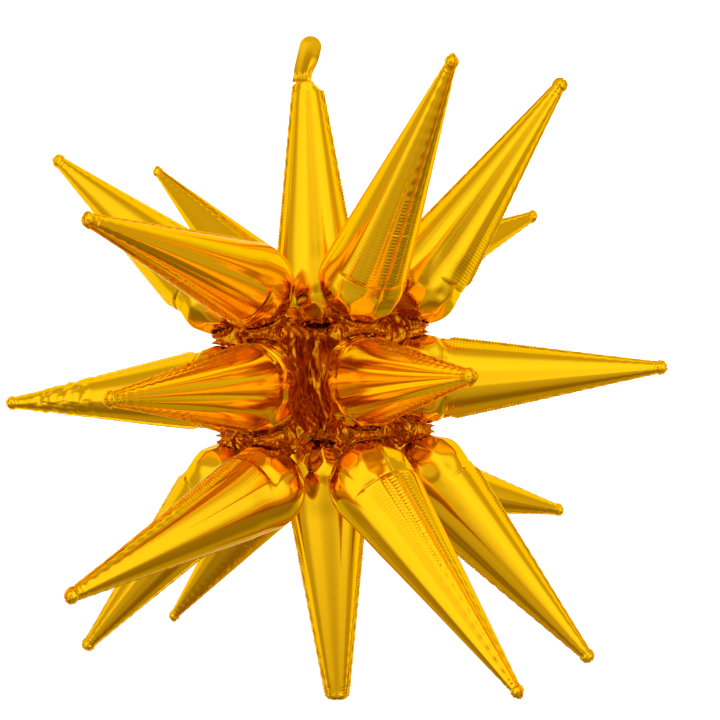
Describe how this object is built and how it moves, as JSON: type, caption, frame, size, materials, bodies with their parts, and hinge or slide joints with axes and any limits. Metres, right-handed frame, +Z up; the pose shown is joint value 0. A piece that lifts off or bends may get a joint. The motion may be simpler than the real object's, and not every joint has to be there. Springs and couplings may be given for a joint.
{
  "type": "starburst foil balloon",
  "caption": "Air-filled foil balloon: long cone spikes radiate from a crumpled centre, each on a soft neck, with a flat inflation tail at the top.",
  "frame": {"origin": "where the hanging line is tied, at the root of the inflation tail, on the upright axis", "axes": "+Z up along the axis through both pole spikes; -Y is the front, the side the picture shows; +X is right as seen from the front"},
  "size_m": [0.8259, 0.7793, 0.8113],
  "materials": {
    "spike_foil": "metallised film, mirror gold, smooth and tight, fine puckers beside the seals",
    "creased_foil": "metallised film, mirror gold, crumpled",
    "tail_foil": "metallised film, flat, satin gold",
    "valve_film": "clear thin film"
  },
  "bodies": {
    "core": {"centre_chamber": "creased_foil", "top_collar": "creased_foil", "bottom_collar": "creased_foil", "top_left_panel": "spike_foil", "top_right_panel": "spike_foil", "valve_sleeve": "valve_film", "front_right_necks": "creased_foil", "front_right_web": "creased_foil", "right_necks": "creased_foil", "right_web": "creased_foil", "rear_right_necks": "creased_foil", "rear_right_web": "creased_foil", "rear_left_necks": "creased_foil", "rear_left_web": "creased_foil", "left_necks": "creased_foil", "left_web": "creased_foil", "front_left_necks": "creased_foil", "front_left_web": "creased_foil"},
    "front_right_upper_spike": {"front_right_upper_left_panel": "spike_foil", "front_right_upper_right_panel": "spike_foil"},
    "front_right_middle_spike": {"front_right_middle_left_panel": "spike_foil", "front_right_middle_right_panel": "spike_foil"},
    "front_right_lower_spike": {"front_right_lower_left_panel": "spike_foil", "front_right_lower_right_panel": "spike_foil"},
    "right_upper_spike": {"right_upper_left_panel": "spike_foil", "right_upper_right_panel": "spike_foil"},
    "right_middle_spike": {"right_middle_left_panel": "spike_foil", "right_middle_right_panel": "spike_foil"},
    "right_lower_spike": {"right_lower_left_panel": "spike_foil", "right_lower_right_panel": "spike_foil"},
    "rear_right_upper_spike": {"rear_right_upper_left_panel": "spike_foil", "rear_right_upper_right_panel": "spike_foil"},
    "rear_right_middle_spike": {"rear_right_middle_left_panel": "spike_foil", "rear_right_middle_right_panel": "spike_foil"},
    "rear_right_lower_spike": {"rear_right_lower_left_panel": "spike_foil", "rear_right_lower_right_panel": "spike_foil"},
    "rear_left_upper_spike": {"rear_left_upper_left_panel": "spike_foil", "rear_left_upper_right_panel": "spike_foil"},
    "rear_left_middle_spike": {"rear_left_middle_left_panel": "spike_foil", "rear_left_middle_right_panel": "spike_foil"},
    "rear_left_lower_spike": {"rear_left_lower_left_panel": "spike_foil", "rear_left_lower_right_panel": "spike_foil"},
    "left_upper_spike": {"left_upper_left_panel": "spike_foil", "left_upper_right_panel": "spike_foil"},
    "left_middle_spike": {"left_middle_left_panel": "spike_foil", "left_middle_right_panel": "spike_foil"},
    "left_lower_spike": {"left_lower_left_panel": "spike_foil", "left_lower_right_panel": "spike_foil"},
    "front_left_upper_spike": {"front_left_upper_left_panel": "spike_foil", "front_left_upper_right_panel": "spike_foil"},
    "front_left_middle_spike": {"front_left_middle_left_panel": "spike_foil", "front_left_middle_right_panel": "spike_foil"},
    "front_left_lower_spike": {"front_left_lower_left_panel": "spike_foil", "front_left_lower_right_panel": "spike_foil"},
    "bottom_spike": {"bottom_left_panel": "spike_foil", "bottom_right_panel": "spike_foil"},
    "tail": {"tail_front_film": "tail_foil", "tail_back_film": "tail_foil"}
  },
  "joints": [
    {"name": "front_right_upper_sway", "type": "hinge", "parent": "core", "child": "front_right_upper_spike", "pos_m": [0.05166, -0.11602, -0.254], "axis": [0.8983, 0.4381, -0.0349], "range_deg": [-10, 10], "stiffness_Nm_per_rad": 0.3},
    {"name": "front_right_middle_sway", "type": "hinge", "parent": "core", "child": "front_right_middle_spike", "pos_m": [0.05166, -0.11602, -0.37], "axis": [0.9511, 0.309, 0], "range_deg": [-10, 10], "stiffness_Nm_per_rad": 0.3},
    {"name": "front_right_lower_sway", "type": "hinge", "parent": "core", "child": "front_right_lower_spike", "pos_m": [0.05166, -0.11602, -0.486], "axis": [0.8241, 0.5358, 0.1836], "range_deg": [-10, 10], "stiffness_Nm_per_rad": 0.3},
    {"name": "right_upper_sway", "type": "hinge", "parent": "core", "child": "right_upper_spike", "pos_m": [0.1263, -0.01328, -0.254], "axis": [0.1242, 0.9919, 0.0254], "range_deg": [-10, 10], "stiffness_Nm_per_rad": 0.3},
    {"name": "right_middle_sway", "type": "hinge", "parent": "core", "child": "right_middle_spike", "pos_m": [0.1263, -0.01328, -0.37], "axis": [-0.0349, 0.9994, 0], "range_deg": [-10, 10], "stiffness_Nm_per_rad": 0.3},
    {"name": "right_lower_sway", "type": "hinge", "parent": "core", "child": "right_lower_spike", "pos_m": [0.1263, -0.01328, -0.486], "axis": [0.0914, 0.9957, 0.0169], "range_deg": [-10, 10], "stiffness_Nm_per_rad": 0.3},
    {"name": "rear_right_upper_sway", "type": "hinge", "parent": "core", "child": "rear_right_upper_spike", "pos_m": [0.07465, 0.10275, -0.254], "axis": [-0.5554, 0.8197, 0.1404], "range_deg": [-10, 10], "stiffness_Nm_per_rad": 0.3},
    {"name": "rear_right_middle_sway", "type": "hinge", "parent": "core", "child": "rear_right_middle_spike", "pos_m": [0.07465, 0.10275, -0.37], "axis": [-0.829, 0.5592, 0], "range_deg": [-10, 10], "stiffness_Nm_per_rad": 0.3},
    {"name": "rear_right_lower_sway", "type": "hinge", "parent": "core", "child": "rear_right_lower_spike", "pos_m": [0.07465, 0.10275, -0.486], "axis": [-0.4944, 0.8608, -0.121], "range_deg": [-10, 10], "stiffness_Nm_per_rad": 0.3},
    {"name": "rear_left_upper_sway", "type": "hinge", "parent": "core", "child": "rear_left_upper_spike", "pos_m": [-0.05166, 0.11602, -0.254], "axis": [-0.7701, -0.5948, -0.2306], "range_deg": [-10, 10], "stiffness_Nm_per_rad": 0.3},
    {"name": "rear_left_middle_sway", "type": "hinge", "parent": "core", "child": "rear_left_middle_spike", "pos_m": [-0.05166, 0.11602, -0.37], "axis": [-0.9135, -0.4067, 0], "range_deg": [-10, 10], "stiffness_Nm_per_rad": 0.3},
    {"name": "rear_left_lower_sway", "type": "hinge", "parent": "core", "child": "rear_left_lower_spike", "pos_m": [-0.05166, 0.11602, -0.486], "axis": [-0.7491, -0.6059, 0.2679], "range_deg": [-10, 10], "stiffness_Nm_per_rad": 0.3},
    {"name": "left_upper_sway", "type": "hinge", "parent": "core", "child": "left_upper_spike", "pos_m": [-0.1263, 0.01328, -0.254], "axis": [-0.2643, -0.9529, 0.1484], "range_deg": [-10, 10], "stiffness_Nm_per_rad": 0.3},
    {"name": "left_middle_sway", "type": "hinge", "parent": "core", "child": "left_middle_spike", "pos_m": [-0.1263, 0.01328, -0.37], "axis": [-0.2923, -0.9563, -0.0034], "range_deg": [-10, 10], "stiffness_Nm_per_rad": 0.3},
    {"name": "left_lower_sway", "type": "hinge", "parent": "core", "child": "left_lower_spike", "pos_m": [-0.1263, 0.01328, -0.486], "axis": [-0.2292, -0.9644, -0.1316], "range_deg": [-10, 10], "stiffness_Nm_per_rad": 0.3},
    {"name": "front_left_upper_sway", "type": "hinge", "parent": "core", "child": "front_left_upper_spike", "pos_m": [-0.07465, -0.10275, -0.254], "axis": [0.8554, -0.5177, -0.0164], "range_deg": [-10, 10], "stiffness_Nm_per_rad": 0.3},
    {"name": "front_left_middle_sway", "type": "hinge", "parent": "core", "child": "front_left_middle_spike", "pos_m": [-0.07465, -0.10275, -0.37], "axis": [0.891, -0.454, 0.0028], "range_deg": [-10, 10], "stiffness_Nm_per_rad": 0.3},
    {"name": "front_left_lower_sway", "type": "hinge", "parent": "core", "child": "front_left_lower_spike", "pos_m": [-0.07465, -0.10275, -0.486], "axis": [0.738, -0.6739, -0.0343], "range_deg": [-10, 10], "stiffness_Nm_per_rad": 0.3},
    {"name": "bottom_sway", "type": "hinge", "parent": "core", "child": "bottom_spike", "pos_m": [0, 0, -0.483], "axis": [0.1045, 0.9945, 0], "range_deg": [-10, 10], "stiffness_Nm_per_rad": 0.3},
    {"name": "tail_flop", "type": "hinge", "parent": "core", "child": "tail", "pos_m": [0, 0, 0.001], "axis": [1, 0, 0], "range_deg": [-75, 75], "stiffness_Nm_per_rad": 0.01}
  ]
}
